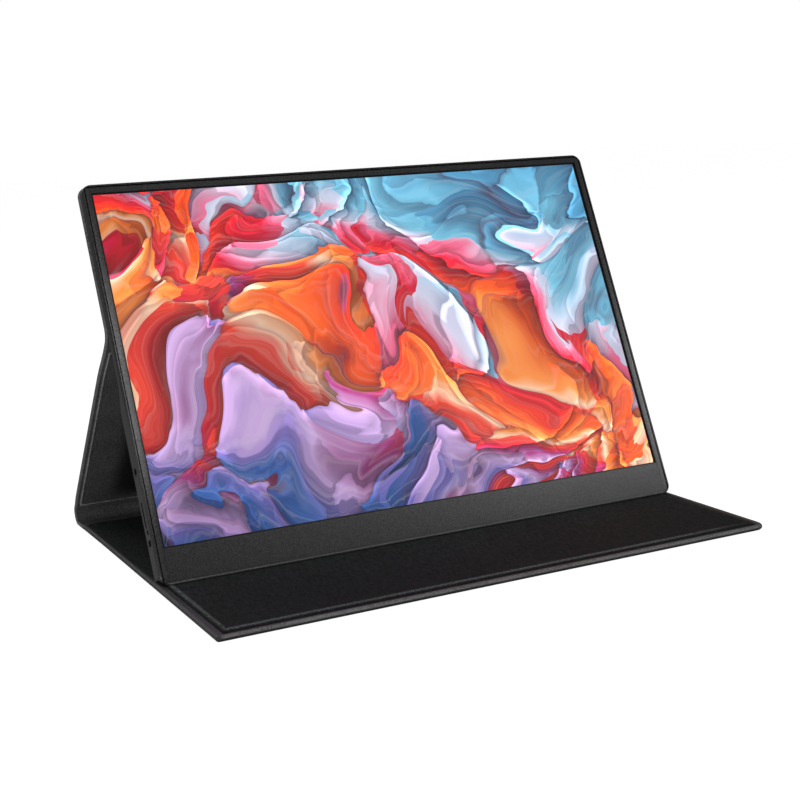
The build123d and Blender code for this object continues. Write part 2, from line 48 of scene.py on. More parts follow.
# ---------------------------------------------------------------- dimensions of the model, mm
TILT, LEG_ANGLE = math.radians(24.5), math.radians(41.0)
LIT_W, LIT_H, CHIN, TOP_BEZEL, MW, FRAME_T = 335.0, 212.0, 21.3, 6.1, 173.4, 1.4
MH = LIT_H + CHIN + TOP_BEZEL
RIM, GROOVE = 1.5, 0.7
HW, SPINE_R, A_FRONT, C_BACK, LEG_LEN, V_FOLD, W_COVER = 174.4, 7.0, 91.5, 158.3, 161.0, 148.8, 8.6
PANEL_TOP = MH + 1.2
Z_CASE = 3.3 + FRAME_T * math.sin(TILT)
UP = np.array([math.sin(TILT), math.cos(TILT)])
BACK = np.array([math.cos(TILT), -math.sin(TILT)])
DOWN = np.array([math.sin(LEG_ANGLE), -math.cos(LEG_ANGLE)])
OUT = np.array([math.cos(LEG_ANGLE), math.sin(LEG_ANGLE)])
FOLD = np.array([0.0, Z_CASE]) + V_FOLD * UP + W_COVER * BACK
S_TAN = (FOLD[1] - SPINE_R * OUT[1] - SPINE_R) / math.cos(LEG_ANGLE)
ROLL_Y = FOLD[0] + S_TAN * DOWN[0] - SPINE_R * OUT[0]
Y0 = -(ROLL_Y + SPINE_R - A_FRONT) / 2
FOLD[0] += Y0
ROLL_Y += Y0
BASE_FRONT = Y0 - A_FRONT

# ---------------------------------------------------------------- camera, at the photograph's viewing angle
R = np.array([[0.8901932, -0.4533311, -0.0452436], [0.1236406, 0.1448127, 0.9817038], [-0.4384850, -0.8795000, 0.1849615]])
cam_data = bpy.data.cameras.new("camera")
cam = bpy.data.objects.new("camera", cam_data)
bpy.context.scene.collection.objects.link(cam)
cam_data.sensor_width = 36.0
cam_data.lens = 67.29915
cam_data.clip_start, cam_data.clip_end = 0.05, 50.0
m = Matrix.Identity(4)
for i in range(3):
    for j in range(3):
        m[i][j] = R[j][i]
m.translation = Vector((-0.40512028, (-769.70559 + Y0) / 1000, 0.25147134))
cam.matrix_world = m
bpy.context.scene.camera = cam


# ---------------------------------------------------------------- small helpers for node trees
class Tree:
    def __init__(self, name):
        self.mat = bpy.data.materials.new(name)
        self.mat.use_nodes = True
        self.nt = self.mat.node_tree
        self.bsdf = self.nt.nodes["Principled BSDF"]
        self.out = self.nt.nodes["Material Output"]

    def node(self, kind, **props):
        n = self.nt.nodes.new(kind)
        for k, v in props.items():
            setattr(n, k, v)
        return n

    def put(self, socket, value):
        if isinstance(value, bpy.types.NodeSocket):
            self.nt.links.new(value, socket)
        else:
            socket.default_value = value

    def math(self, op, a, b=0.0, c=0.0, clamp=False):
        n = self.node("ShaderNodeMath", operation=op, use_clamp=clamp)
        self.put(n.inputs[0], a), self.put(n.inputs[1], b), self.put(n.inputs[2], c)
        return n.outputs[0]

    def vmath(self, op, a, b=(0, 0, 0), scale=None):
        n = self.node("ShaderNodeVectorMath", operation=op)
        self.put(n.inputs[0], a)
        if op != "SCALE":
            self.put(n.inputs[1], b)
        if scale is not None:
            self.put(n.inputs["Scale"], scale)
        return n.outputs["Value"] if op in ("DOT_PRODUCT", "LENGTH", "DISTANCE") else n.outputs["Vector"]

    def step(self, x, lo, hi, a=0.0, b=1.0):
        """a below lo, b above hi, smooth between."""
        n = self.node("ShaderNodeMapRange", interpolation_type="SMOOTHSTEP")
        self.put(n.inputs["Value"], x)
        n.inputs["From Min"].default_value, n.inputs["From Max"].default_value = lo, hi
        n.inputs["To Min"].default_value, n.inputs["To Max"].default_value = a, b
        return n.outputs[0]

    def noise(self, vec, scale, detail=2.0, rough=0.5, colour=False, distortion=0.0, dims="3D", w=None):
        n = self.node("ShaderNodeTexNoise", noise_dimensions=dims)
        self.put(n.inputs["Vector"], vec)
        if w is not None:
            self.put(n.inputs["W"], w)
        n.inputs["Scale"].default_value, n.inputs["Detail"].default_value = scale, detail
        n.inputs["Roughness"].default_value, n.inputs["Distortion"].default_value = rough, distortion
        return n.outputs["Color" if colour else "Fac"]

    def voronoi(self, vec, scale, feature="F1", out="Distance", rand=1.0, smooth=None):
        n = self.node("ShaderNodeTexVoronoi", feature=feature)
        self.put(n.inputs["Vector"], vec)
        n.inputs["Scale"].default_value, n.inputs["Randomness"].default_value = scale, rand
        if smooth is not None:
            n.inputs["Smoothness"].default_value = smooth
        return n.outputs[out]

    def ramp(self, fac, stops, mode="LINEAR"):
        n = self.node("ShaderNodeValToRGB")
        self.put(n.inputs["Fac"], fac)
        cr = n.color_ramp
        cr.interpolation = mode
        while len(cr.elements) > 1:
            cr.elements.remove(cr.elements[-1])
        cr.elements[0].position, cr.elements[0].color = stops[0][0], (*stops[0][1], 1)
        for p, col in stops[1:]:
            e = cr.elements.new(p)
            e.color = (*col, 1)
        return n.outputs["Color"]

    def mix(self, fac, a, b, mode="MIX"):
        n = self.node("ShaderNodeMix", data_type="RGBA", blend_type=mode)
        self.put(n.inputs[0], fac)
        for socket, value in ((n.inputs[6], a), (n.inputs[7], b)):
            self.put(socket, (*value, 1) if isinstance(value, tuple) and len(value) == 3 else value)
        return n.outputs[2]

    def bump(self, height, strength, distance):
        n = self.node("ShaderNodeBump")
        self.put(n.inputs["Height"], height)
        n.inputs["Strength"].default_value, n.inputs["Distance"].default_value = strength, distance
        return n.outputs[0]

    def place(self):
        """The resting place of each point: it stays with the surface when a piece bends."""
        return self.node("ShaderNodeAttribute", attribute_name="rest").outputs["Vector"]

    def tone(self):
        """Painted light and shade: -1 where shade is painted (pressed lines, gaps, undersides), 1 where a highlight is
        painted (crests, rim shoulders), 0 elsewhere.
        """
        return self.node("ShaderNodeAttribute", attribute_name="tone").outputs["Fac"]

    def paint_light_and_shade(self, col, dark=0.35, light=3.0):
        """Paints shade and light into a colour: darkens it where the tone is negative (pressed lines, gaps) and
        lightens it where it is positive (crests, shoulders).
        """
        tone = self.tone()
        col = self.mix(self.step(tone, -0.9, -0.05, 1.0, 0.0), col, self.mix(1.0, col, (dark, dark, dark), "MULTIPLY"))
        return self.mix(self.step(tone, 0.05, 0.95), col, self.mix(1.0, col, (light, light, light), "MULTIPLY"))

    def own(self):
        return self.node("ShaderNodeTexCoord").outputs["Object"]


def srgb(*c):
    return tuple((x / 255 / 12.92 if x / 255 <= 0.04045 else ((x / 255 + 0.055) / 1.055) ** 2.4) for x in c)


# ---------------------------------------------------------------- materials
def leather(name, base=(0.0125, 0.0125, 0.0128), rough=0.5, grain=1.0, light=2.2, dark=0.45):
    """Black imitation leather: pebbled grain of about a millimetre, pores, soft sheen, faint scuffs, and painted light
    and shade from the tone attribute.
    """
    t = Tree(name)
    p = t.place()
    warp = t.vmath("ADD", p, t.vmath("SCALE", t.vmath("SUBTRACT", t.noise(p, 420, 2, colour=True), (0.5, 0.5, 0.5)), scale=0.0007))
    cells = t.voronoi(warp, 1050, "SMOOTH_F1", smooth=0.35)
    pebble = t.step(cells, 0.12, 0.72, 1.0, 0.0)
    fine = t.noise(p, 3600, 3, 0.62)
    pores = t.step(t.voronoi(p, 2300), 0.05, 0.22)
    height = t.math("ADD", t.math("MULTIPLY", pebble, 0.62), t.math("ADD", t.math("MULTIPLY", fine, 0.26), t.math("MULTIPLY", pores, 0.12)))
    broad = t.noise(p, 22, 4, 0.6)
    scuff = t.step(t.noise(t.vmath("MULTIPLY", p, (1.0, 3.0, 3.0)), 95, 5, 0.7), 0.60, 0.80)
    col = t.ramp(pebble, [(0.0, tuple(0.55 * x for x in base)), (0.55, base), (1.0, tuple(1.45 * x for x in base))])
    col = t.mix(t.step(broad, 0.35, 0.7, 0.0, 0.35), col, tuple(1.9 * x for x in base))
    col = t.mix(t.math("MULTIPLY", scuff, 0.18), col, tuple(3.6 * x for x in base))
    # painted shade in pressed lines and gaps and painted highlights on crests and shoulders, scaled by dark and light
    t.put(t.bsdf.inputs["Base Color"], t.paint_light_and_shade(col, dark, light))
    r = t.math("ADD", t.math("MULTIPLY", broad, 0.14), t.math("MULTIPLY", fine, 0.16))
    t.put(t.bsdf.inputs["Roughness"], t.math("ADD", r, rough - 0.13))
    t.bsdf.inputs["Specular IOR Level"].default_value = 0.42
    t.bsdf.inputs["Sheen Weight"].default_value = 0.03
    t.bsdf.inputs["Sheen Roughness"].default_value = 0.5
    t.put(t.bsdf.inputs["Normal"], t.bump(height, 0.55 * grain, 0.00022))
    return t.mat


def microfibre(name):
    """Black brushed microfibre: a dense short nap, tiny flecks, brushed patches."""
    t = Tree(name)
    p = t.place()
    nap = t.noise(t.vmath("MULTIPLY", p, (1.0, 0.6, 1.0)), 5200, 4, 0.7)
    clump = t.noise(p, 900, 3, 0.6)
    brushed = t.noise(t.vmath("MULTIPLY", p, (1.0, 0.35, 1.0)), 14, 3, 0.55)
    fleck = t.step(t.voronoi(p, 1500, out="Distance"), 0.0, 0.16, 1.0, 0.0)
    tone = t.math("ADD", t.math("MULTIPLY", nap, 0.5), t.math("ADD", t.math("MULTIPLY", clump, 0.3), t.math("MULTIPLY", brushed, 0.2)))
    col = t.ramp(tone, [(0.30, (0.0041, 0.0044, 0.0044)), (0.50, (0.0081, 0.0091, 0.0092)), (0.72, (0.0169, 0.0188, 0.0191))])
    col = t.mix(t.math("MULTIPLY", fleck, 0.45), col, (0.026, 0.027, 0.028))
    speck = t.step(t.noise(t.vmath("MULTIPLY", p, (1.0, 0.16, 1.0)), 1500, 2, 0.6), 0.30, 0.70, 0.35, 1.75)
    # painted light and shade: the ridge crest painted up to 9.5 times lighter, the channels painted darker
    t.put(t.bsdf.inputs["Base Color"], t.vmath("SCALE", t.paint_light_and_shade(col, 0.8, 9.5), scale=speck))
    t.bsdf.inputs["Roughness"].default_value = 0.92
    t.bsdf.inputs["Specular IOR Level"].default_value = 0.10
    t.bsdf.inputs["Sheen Weight"].default_value = 0.02
    t.bsdf.inputs["Sheen Roughness"].default_value = 0.7
    h = t.math("ADD", t.math("MULTIPLY", nap, 0.6), t.math("MULTIPLY", clump, 0.4))
    t.put(t.bsdf.inputs["Normal"], t.bump(h, 0.5, 0.0002))
    return t.mat


def moulded(name, base, rough=0.5, grain=1.0, spec=0.5, place=False, metallic=0.0, texture=4200, faces=None):
    """Matte moulded or painted surface: spark-eroded fine grain, slight mottling, dust in the broad tone.
    faces, when given, returns a level for the colour and the gloss at each place, which carries painted light and
    shade."""
    t = Tree(name)
    p = t.place() if place else t.own()
    fine = t.noise(p, texture, 3, 0.65)
    mid = t.noise(p, 800, 2, 0.5)
    broad = t.noise(p, 11, 3, 0.5)
    tone = t.math("ADD", t.math("MULTIPLY", fine, 0.55), t.math("MULTIPLY", mid, 0.45))
    col = t.ramp(tone, [(0.25, tuple(0.72 * x for x in base)), (0.5, base), (0.78, tuple(1.42 * x for x in base))])
    col = t.mix(t.step(broad, 0.3, 0.75, 0.0, 0.22), col, tuple(1.5 * x for x in base))
    # the faces level paints light and shade into the colour and scales the gloss
    level = faces(t) if faces else None
    if faces:
        col = t.vmath("SCALE", col, scale=level)
    t.put(t.bsdf.inputs["Base Color"], col)
    t.put(t.bsdf.inputs["Roughness"], t.math("ADD", t.math("MULTIPLY", tone, 0.18), rough - 0.09))
    t.put(t.bsdf.inputs["Specular IOR Level"], t.math("MULTIPLY", level, spec) if faces else spec)
    t.bsdf.inputs["Metallic"].default_value = metallic
    t.put(t.bsdf.inputs["Normal"], t.bump(tone, 0.35 * grain, 0.00009))
    return t.mat


def frame_grain_and_painted_light(t):
    """Painted light and shade over the front frame, with a fine grain: a painted highlight on the rim, painted shade in
    the groove inside it, a face painted lighter at the outside and darker towards the picture, a painted light patch
    low on the left, painted shade towards the right, a painted highlight along the bottom edge, and a dark lip round
    the picture.
    """
    o = t.own()
    u = t.math("MULTIPLY", t.math("ABSOLUTE", t.vmath("DOT_PRODUCT", o, (1, 0, 0))), 1000.0)
    v = t.math("MULTIPLY_ADD", t.vmath("DOT_PRODUCT", o, (0, float(UP[0]), float(UP[1]))), 1000.0, -float(Y0 * UP[0] + Z_CASE * UP[1]))
    side = t.math("SUBTRACT", MW, u)
    e = t.math("MAXIMUM", t.math("SUBTRACT", u, LIT_W / 2), t.math("MAXIMUM", t.math("SUBTRACT", CHIN, v), t.math("SUBTRACT", v, CHIN + LIT_H)))
    d = t.math("MINIMUM", side, t.math("SUBTRACT", MH, v))
    # painted shade in the groove inside the rim
    groove = t.math("MULTIPLY", t.step(d, RIM - 0.25, RIM + 0.05), t.step(d, RIM + GROOVE - 0.1, RIM + GROOVE + 0.2, 1.0, 0.0))
    # painted highlight on the rim
    level = t.step(d, RIM - 0.5, RIM + 0.3, FACE_RIM_HIGHLIGHT, 1.0)
    level = t.math("MULTIPLY", level, t.math("MULTIPLY_ADD", groove, FACE_GROOVE_SHADE - 1.0, 1.0))
    # painted light: the face lighter at the outside, darker towards the picture
    slope = t.step(side, RIM + GROOVE, MW - LIT_W / 2, FACE_OUT_LIGHT, FACE_IN_SHADE)
    beside = t.step(side, MW - LIT_W / 2 - 0.2, MW - LIT_W / 2 + 0.2, 1.0, 0.0)
    level = t.math("MULTIPLY", level, t.math("MULTIPLY_ADD", t.math("SUBTRACT", slope, 1.0), beside, 1.0))
    x = t.math("MULTIPLY", t.vmath("DOT_PRODUCT", o, (1, 0, 0)), 1000.0)
    # low: a painted highlight on the lower left of the face
    low = t.math("MULTIPLY", t.math("MULTIPLY", t.step(v, 25.0, 70.0), t.step(v, 80.0, 115.0, 1.0, 0.0)), t.step(x, -160.0, -150.0, 0.55, 0.0))
    # right: painted shade over the right part of the face
    right = t.math("MULTIPLY", t.step(x, 60.0, 165.0, 0.0, -0.30), t.step(v, 40.0, 190.0, 1.0, 0.0))
    level = t.math("MULTIPLY", level, t.math("ADD", t.math("ADD", low, right), 1.0))
    # painted highlight, five times the level, along the bottom edge
    level = t.math("MULTIPLY", level, t.step(v, -0.1, 1.5, 5.0, 1.0))
    grain = t.math("MULTIPLY_ADD", t.noise(o, 1500, 2, 0.6), 2.0, 0.0)
    return t.math("MULTIPLY", t.math("MULTIPLY", level, grain), t.step(e, 0.35, 0.9, FACE_LIP, 1.0))


def shell_speckle_and_painted_light(t):
    """Levels over the rear shell: a fine speckle, a dark ring round the indicator's recess on the left wall, and
    painted light on the left wall, lighter low down and darker higher up.
    """
    o = t.own()
    v = t.math("MULTIPLY_ADD", t.vmath("DOT_PRODUCT", o, (0, float(UP[0]), float(UP[1]))), 1000.0, -float(Y0 * UP[0] + Z_CASE * UP[1]) - 31.8)
    w = t.math("MULTIPLY_ADD", t.vmath("DOT_PRODUCT", o, (0, float(BACK[0]), float(BACK[1]))), 1000.0, -float(Y0 * BACK[0] + Z_CASE * BACK[1]) - 5.6)
    r = t.math("SQRT", t.math("ADD", t.math("MULTIPLY", v, v), t.math("MULTIPLY", w, w)))
    left = t.math("LESS_THAN", t.vmath("DOT_PRODUCT", o, (1, 0, 0)), -0.150)
    ring = t.math("MULTIPLY", t.step(r, 1.45, 1.75, 1.0, 0.0), left)
    grain = t.math("MULTIPLY_ADD", t.noise(o, 1500, 2, 0.6), 1.6, 0.20)
    # painted light: the left wall lighter low down and darker higher up
    along = t.math("MULTIPLY_ADD", t.math("SUBTRACT", t.step(v, -20.0, 45.0, 1.35, 0.80), 1.0), left, 1.0)
    return t.math("MULTIPLY", t.math("MULTIPLY", grain, along), t.math("MULTIPLY_ADD", ring, -0.85, 1.0))


def metal(name, base, rough=0.32, brushed=(1.0, 1.0, 12.0)):
    """Plain metal with faint directional brushing and handling marks."""
    t = Tree(name)
    p = t.own()
    lines = t.noise(t.vmath("MULTIPLY", p, brushed), 900, 4, 0.6)
    marks = t.noise(p, 60, 4, 0.6)
    col = t.mix(t.step(marks, 0.4, 0.75, 0.0, 0.35), base, tuple(0.72 * x for x in base))
    t.put(t.bsdf.inputs["Base Color"], col)
    t.bsdf.inputs["Metallic"].default_value = 1.0
    t.put(t.bsdf.inputs["Roughness"], t.math("ADD", t.math("MULTIPLY", lines, 0.22), rough - 0.1))
    t.put(t.bsdf.inputs["Normal"], t.bump(lines, 0.12, 0.00005))
    return t.mat


def board(name):
    """Circuit board: green mask over faint copper tracks and vias."""
    t = Tree(name)
    p = t.own()
    tracks = t.step(t.noise(t.vmath("MULTIPLY", p, (1.0, 0.25, 0.25)), 700, 2, 0.5), 0.50, 0.56)
    vias = t.step(t.voronoi(p, 320), 0.05, 0.08, 1.0, 0.0)
    col = t.mix(tracks, (0.010, 0.060, 0.028), (0.018, 0.110, 0.050))
    col = t.mix(vias, col, (0.45, 0.36, 0.16))
    t.put(t.bsdf.inputs["Base Color"], col)
    t.bsdf.inputs["Roughness"].default_value = 0.38
    t.put(t.bsdf.inputs["Normal"], t.bump(tracks, 0.3, 0.00005))
    return t.mat


def sheet(name, a, b, scale, rough, spec=0.5, transmission=0.0):
    """Film, board or foam: a fine two-tone speckle."""
    t = Tree(name)
    p = t.own()
    n = t.noise(p, scale, 4, 0.65)
    t.put(t.bsdf.inputs["Base Color"], t.mix(t.step(n, 0.35, 0.65), a, b))
    t.put(t.bsdf.inputs["Roughness"], t.math("ADD", t.math("MULTIPLY", n, 0.15), rough - 0.07))
    t.bsdf.inputs["Specular IOR Level"].default_value = spec
    t.put(t.bsdf.inputs["Normal"], t.bump(n, 0.2, 0.00008))
    return t.mat


def bent(t, v, at, scale, amount, detail=1.5, rough=0.45):
    """The plane v pushed about by smooth noise."""
    n = t.noise(t.vmath("ADD", v, at), scale, detail, rough, colour=True)
    return t.vmath("ADD", v, t.vmath("SCALE", t.vmath("SUBTRACT", n, (0.5, 0.5, 0.5)), scale=amount))


def petals(t, v, scale, lo, hi):
    """Cells of the plane, each with its own run of curved folds: place within the fold, number of the fold, distance to the cell's edge, random level."""
    cell = t.node("ShaderNodeTexVoronoi", voronoi_dimensions="2D", feature="F1")
    edge = t.node("ShaderNodeTexVoronoi", voronoi_dimensions="2D", feature="DISTANCE_TO_EDGE")
    for n in (cell, edge):
        t.put(n.inputs["Vector"], v)
        n.inputs["Scale"].default_value = scale
    sep = t.node("ShaderNodeSeparateColor")
    t.put(sep.inputs[0], cell.outputs["Color"])
    local = t.vmath("SUBTRACT", v, cell.outputs["Position"])
    turn = t.math("MULTIPLY", sep.outputs[0], 2 * math.pi)
    c, s = t.math("COSINE", turn), t.math("SINE", turn)
    d, q = t.node("ShaderNodeCombineXYZ"), t.node("ShaderNodeCombineXYZ")
    t.put(d.inputs[0], c), t.put(d.inputs[1], s)
    t.put(q.inputs[0], t.math("MULTIPLY", s, -1.0)), t.put(q.inputs[1], c)
    along, across = t.vmath("DOT_PRODUCT", local, d.outputs[0]), t.vmath("DOT_PRODUCT", local, q.outputs[0])
    bow = t.math("MULTIPLY", t.math("MULTIPLY", across, across), 1.2)
    run = t.math("MULTIPLY", t.math("ADD", along, bow), t.math("MULTIPLY_ADD", sep.outputs[1], hi - lo, lo))
    return t.math("FRACT", run), t.math("FLOOR", run), edge.outputs["Distance"], sep.outputs[2]


def picture(name):
    """The lit picture: an abstract sweep of silky folds, made from warped cells and noise, under a smooth dark front."""
    t = Tree(name)
    o = t.own()
    u = t.math("MULTIPLY", t.vmath("DOT_PRODUCT", o, (1, 0, 0)), 1000.0 / LIT_H)
    v = t.math("MULTIPLY_ADD", t.vmath("DOT_PRODUCT", o, (0, float(UP[0]), float(UP[1]))), 1000.0 / LIT_H,
               -(Y0 * UP[0] + Z_CASE * UP[1] + CHIN) / LIT_H)
    comb = t.node("ShaderNodeCombineXYZ")
    t.put(comb.inputs[0], u), t.put(comb.inputs[1], v)
    p = comb.outputs[0]
    a = bent(t, p, (0, 0, 0), 1.5, 0.95)
    b = bent(t, a, (7.3, 2.1, 0), 2.6, 0.42, 2.0)
    s = bent(t, bent(t, b, (1.7, 9.7, 0), 6.5, 0.13, 2.0), (3.1, 0.4, 0), 15.0, 0.035, 2.0, 0.55)
    s = t.vmath("MULTIPLY", s, (1, 1, 0))
    # the colour runs across the picture, and jumps a little from fold to fold
    f1, l1, e1, r1 = petals(t, s, 2.7, 3.5, 8.5)
    f2, l2, e2, r2 = petals(t, bent(t, s, (4.4, 5.5, 0), 5.0, 0.22), 6.4, 4.0, 10.0)
    jitter = t.node("ShaderNodeTexWhiteNoise", noise_dimensions="2D")
    pair = t.node("ShaderNodeCombineXYZ")
    t.put(pair.inputs[0], l1), t.put(pair.inputs[1], r1)
    t.put(jitter.inputs["Vector"], pair.outputs[0])
    index = t.math("ADD", t.vmath("DOT_PRODUCT", s, (-0.36, -0.74, 0.0)), 0.80)
    index = t.math("ADD", index, t.math("MULTIPLY", t.math("SUBTRACT", jitter.outputs["Value"], 0.5), 0.26))
    index = t.math("ADD", index, t.math("MULTIPLY", t.math("SUBTRACT", r2, 0.5), 0.16))
    index = t.math("ADD", index, t.math("MULTIPLY", f1, 0.07))
    col = t.ramp(index, [
        (0.00, srgb(84, 160, 204)), (0.16, srgb(120, 196, 226)), (0.24, srgb(206, 206, 230)), (0.285, srgb(244, 110, 150)), (0.34, srgb(206, 14, 50)),
        (0.41, srgb(240, 48, 30)), (0.49, srgb(255, 96, 24)), (0.555, srgb(255, 150, 70)), (0.59, srgb(255, 214, 180)), (0.62, srgb(246, 70, 44)),
        (0.69, srgb(210, 20, 50)), (0.755, srgb(150, 50, 120)), (0.81, srgb(186, 156, 206)), (0.87, srgb(100, 92, 160)), (0.93, srgb(40, 76, 138)),
        (1.00, srgb(16, 30, 76))])
    shade = t.ramp(f1, [(0.0, (0.16, 0.12, 0.18)), (0.10, (0.48, 0.42, 0.48)), (0.42, (0.96, 0.96, 0.96)), (0.84, (1.15, 1.13, 1.12)),
                        (0.965, (2.1, 1.95, 1.9)), (1.0, (1.3, 1.2, 1.15))])
    col = t.mix(0.9, col, shade, "MULTIPLY")
    finer = t.ramp(f2, [(0.0, (0.50, 0.45, 0.50)), (0.22, (0.90, 0.90, 0.90)), (0.8, (1.08, 1.07, 1.06)), (0.96, (1.5, 1.45, 1.42)), (1.0, (0.95, 0.95, 0.95))])
    col = t.mix(0.8, col, finer, "MULTIPLY")
    f3 = petals(t, bent(t, s, (9.1, 1.3, 0), 9.0, 0.10), 13.0, 4.5, 11.0)[0]
    finest = t.ramp(f3, [(0.0, (0.66, 0.60, 0.66)), (0.18, (0.94, 0.94, 0.94)), (0.86, (1.04, 1.04, 1.03)), (0.965, (1.42, 1.36, 1.34)), (1.0, (0.95, 0.95, 0.95))])
    col = t.mix(0.6, col, finest, "MULTIPLY")
    col = t.mix(t.step(e1, 0.0, 0.04, 0.40, 0.0), col, (0.10, 0.02, 0.05))
    streak = t.noise(t.vmath("MULTIPLY", s, (1.2, 26.0, 1.0)), 3.0, 4, 0.6)
    col = t.mix(t.step(streak, 0.45, 0.8, 0.0, 0.28), col, t.mix(0.5, col, (1.0, 0.96, 0.93)))
    front = t.vmath("DOT_PRODUCT", o, (0, float(BACK[0]), float(BACK[1])))
    w = t.math("MULTIPLY_ADD", front, 1000.0, -(Y0 * BACK[0] + Z_CASE * BACK[1]))
    lit = t.math("LESS_THAN", w, 1.0)
    half = LIT_W / LIT_H / 2
    for edge, lo in ((t.math("ADD", u, half), 0.5), (t.math("SUBTRACT", half, u), 1.1), (v, 0.3), (t.math("SUBTRACT", 1.0, v), 0.5)):
        lit = t.math("MULTIPLY", lit, t.step(edge, (lo - 0.1) / LIT_H, (lo + 0.1) / LIT_H))
    t.bsdf.inputs["Base Color"].default_value = (0.006, 0.006, 0.007, 1)
    t.bsdf.inputs["Roughness"].default_value = 0.34
    t.bsdf.inputs["Specular IOR Level"].default_value = 0.18
    t.put(t.bsdf.inputs["Emission Color"], col)
    t.put(t.bsdf.inputs["Emission Strength"], t.math("MULTIPLY", lit, 1.0))
    return t.mat


# levels of painted light and shade on the front frame: rim highlight, groove shade, face lighter outside and darker
# inside, dark lip
FACE_RIM_HIGHLIGHT, FACE_GROOVE_SHADE, FACE_OUT_LIGHT, FACE_IN_SHADE, FACE_LIP = 1.1, 0.15, 1.25, 0.85, 0.4
MAT_LEATHER = leather("cover_leather", base=(0.022, 0.022, 0.0224), rough=0.46, light=6.0)
# the inner leather's base colour is about four times the outer's: painted light standing in for fill light its face
# doesn't get
MAT_INNER = leather("cover_inner_leather", base=(0.094, 0.094, 0.0946), rough=0.62, grain=0.8, light=4.2, dark=0.06)
MAT_NAP = microfibre("cover_microfibre")
MAT_SHELL = moulded("shell_paint", (0.024, 0.024, 0.0245), rough=0.42, grain=1.0, spec=0.4, faces=shell_speckle_and_painted_light)
MAT_BEZEL = moulded("bezel_plastic", (0.017, 0.017, 0.0174), rough=0.21, grain=0.3, spec=0.42, faces=frame_grain_and_painted_light)
MAT_KEY = moulded("key_plastic", (0.0055, 0.0055, 0.0058), rough=0.52, grain=0.6, spec=0.22)
MAT_POWER = moulded("power_key_plastic", (0.0022, 0.0022, 0.0024), rough=0.60, grain=0.6, spec=0.10)
MAT_DARK = moulded("dark_plastic", (0.0065, 0.0065, 0.0068), rough=0.45, grain=0.6)
MAT_PIPE = moulded("light_pipe", (0.62, 0.63, 0.65), rough=0.30, grain=0.3)
MAT_RUBBER = moulded("cone_rubber", (0.008, 0.008, 0.008), rough=0.7, grain=0.8, spec=0.3)
MAT_STEEL = metal("steel", (0.46, 0.46, 0.47), 0.34)
MAT_SOCKET = metal("socket_steel", (0.52, 0.52, 0.53), 0.28)
MAT_ALU = metal("aluminium", (0.72, 0.72, 0.73), 0.38)
MAT_BOARD = board("circuit_mask")
MAT_FLEX = sheet("flex_film", (0.42, 0.20, 0.035), (0.50, 0.26, 0.05), 500, 0.3)
MAT_FIBRE = sheet("fibre_board", (0.26, 0.22, 0.17), (0.36, 0.31, 0.24), 900, 0.9, 0.2)
MAT_FILM = sheet("diffuser_film", (0.78, 0.80, 0.82), (0.84, 0.85, 0.87), 1500, 0.35)
MAT_GUIDE = sheet("light_guide_acrylic", (0.70, 0.76, 0.80), (0.78, 0.83, 0.86), 1200, 0.15)
MAT_TAPE = sheet("foam_tape", (0.62, 0.62, 0.58), (0.72, 0.72, 0.68), 700, 0.8, 0.2)
MAT_PICTURE = picture("lit_picture")

LOOKS = {
    "front_frame": MAT_BEZEL, "rear_shell": MAT_SHELL, "lcd_panel": MAT_PICTURE,
    "optical_films": MAT_FILM, "light_guide": MAT_GUIDE, "led_bar": MAT_FLEX, "panel_tray": MAT_STEEL,
    "driver_board": MAT_BOARD, "driver_flexes": MAT_FLEX, "main_board": MAT_BOARD, "board_screws": MAT_STEEL,
    "board_parts": MAT_DARK, "heat_spreader": MAT_ALU, "link_cable": MAT_FLEX, "key_board": MAT_BOARD,
    "speaker_left": MAT_DARK, "speaker_right": MAT_DARK, "speaker_cones": MAT_RUBBER, "shell_screws": MAT_STEEL,
    "headphone_jack": MAT_DARK, "usb_sockets": MAT_SOCKET, "video_socket": MAT_SOCKET,
    "rocker_key": MAT_KEY, "rocker_pin": MAT_STEEL, "power_key": MAT_POWER, "key_switches": MAT_DARK, "indicator": MAT_PIPE,
    "base_board": MAT_FIBRE, "leg_board": MAT_FIBRE, "upper_board": MAT_FIBRE, "base_magnets": MAT_STEEL, "adhesive_sheet": MAT_TAPE,
}
for name, mat in LOOKS.items():
    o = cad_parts[name]
    if not o.material_slots:
        o.data.materials.append(mat)
    for s in o.material_slots:
        s.link = "OBJECT"
        s.material = mat

# ---------------------------------------------------------------- the folio, one strip bent along a path
# s runs along the outer face, from the base's front edge to the top of the upper panel.
FOLD_R = 8.0
HALF_TURN = (TILT + LEG_ANGLE) / 2
T_C = FOLD_R * math.tan(HALF_TURN)
S_FLAT = ROLL_Y - BASE_FRONT
S_ROLL = S_FLAT + SPINE_R * (math.pi / 2 + LEG_ANGLE)
S_LEG = S_ROLL + S_TAN - T_C
S_BEND = S_LEG + FOLD_R * 2 * HALF_TURN
S_END = S_BEND + (PANEL_TOP - V_FOLD) - T_C
S_LEG_END = S_ROLL + S_TAN - LEG_LEN        # where the leg's board ends, above the spine
S_BASE_END = A_FRONT + C_BACK               # where the base's board ends
S_CUT = S_ROLL + S_TAN - 82.0               # middle of the leg, where the two halves of the strip meet


